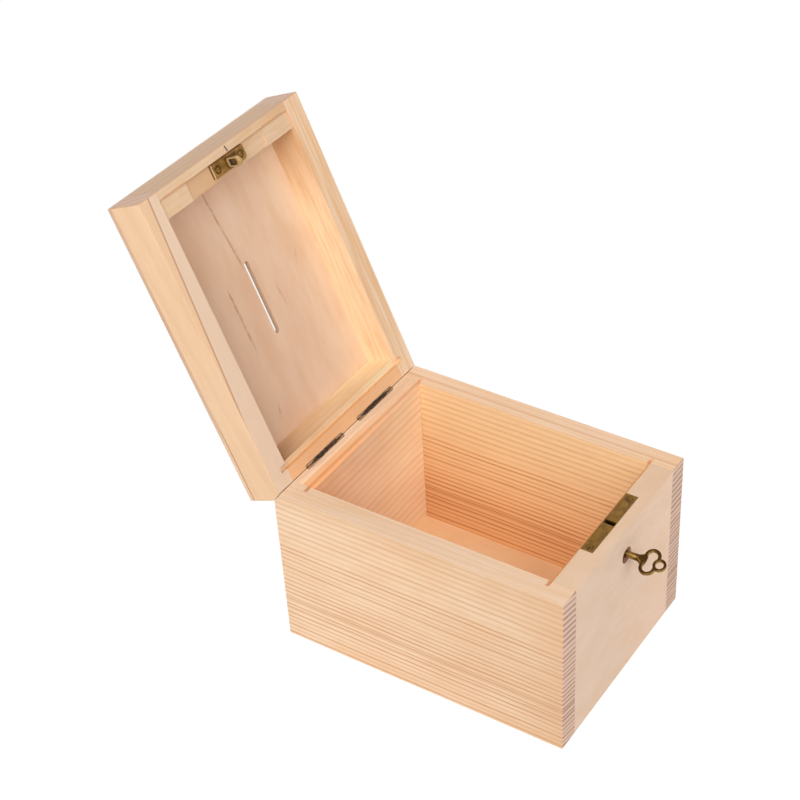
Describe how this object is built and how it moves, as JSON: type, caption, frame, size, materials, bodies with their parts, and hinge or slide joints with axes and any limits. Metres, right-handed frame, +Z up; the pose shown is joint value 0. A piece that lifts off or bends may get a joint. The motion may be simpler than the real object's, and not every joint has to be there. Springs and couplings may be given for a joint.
{
  "type": "money box",
  "caption": "Wooden money box with a coin slot in its hinged lid and a mortised box lock whose key throws a hook bolt through an eye on the lid.",
  "frame": {"origin": "centre of the underside, on the surface the box stands on", "axes": "front with the keyhole towards -Y, hinges towards +Y, +Z up"},
  "size_m": [0.112, 0.2386, 0.2199],
  "materials": {
    "side_wood": "sanded bare pine, growth rings edge on",
    "end_wood": "sanded bare pine, pale",
    "panel_wood": "sanded bare plywood with pine face",
    "old_brass": "antiqued brass",
    "bright_brass": "stamped brass",
    "steel": "drawn steel"
  },
  "bodies": {
    "base": {"left_side_board": "side_wood", "right_side_board": "side_wood", "front_board": "end_wood", "back_board": "end_wood", "bottom_panel": "panel_wood", "lock_faceplate": "old_brass", "lock_case": "bright_brass", "lock_cap": "bright_brass", "lock_pillars": "steel", "bolt_spring": "steel", "lock_screws": "old_brass", "hinge_base_leaf_left": "old_brass", "hinge_base_leaf_right": "old_brass", "hinge_pin_left": "steel", "hinge_pin_right": "steel"},
    "lid": {"lid_left_board": "side_wood", "lid_right_board": "side_wood", "lid_front_board": "end_wood", "lid_back_board": "end_wood", "lid_panel": "panel_wood", "strike_plate": "old_brass", "strike_eye": "bright_brass", "strike_screws": "old_brass", "hinge_lid_leaf_left": "old_brass", "hinge_lid_leaf_right": "old_brass"},
    "bolt": {"lock_bolt": "bright_brass"},
    "key": {"key": "old_brass"}
  },
  "joints": [
    {"name": "lid_hinge", "type": "hinge", "parent": "base", "child": "lid", "pos_m": [0, 0.0705, 0.08715], "axis": [1, 0, 0], "range_deg": [0, 113]},
    {"name": "key_turn", "type": "hinge", "parent": "base", "child": "key", "pos_m": [0.0012, -0.074, 0.0716], "axis": [0, -1, 0], "range_deg": [0, 140]},
    {"name": "bolt_slide", "type": "slide", "parent": "base", "child": "bolt", "axis": [-1, 0, 0], "range_m": [0, 0.00601]}
  ],
  "couplings": [
    {"joint": "key_turn", "follows": "bolt_slide", "rad_per_m": 406.29}
  ]
}
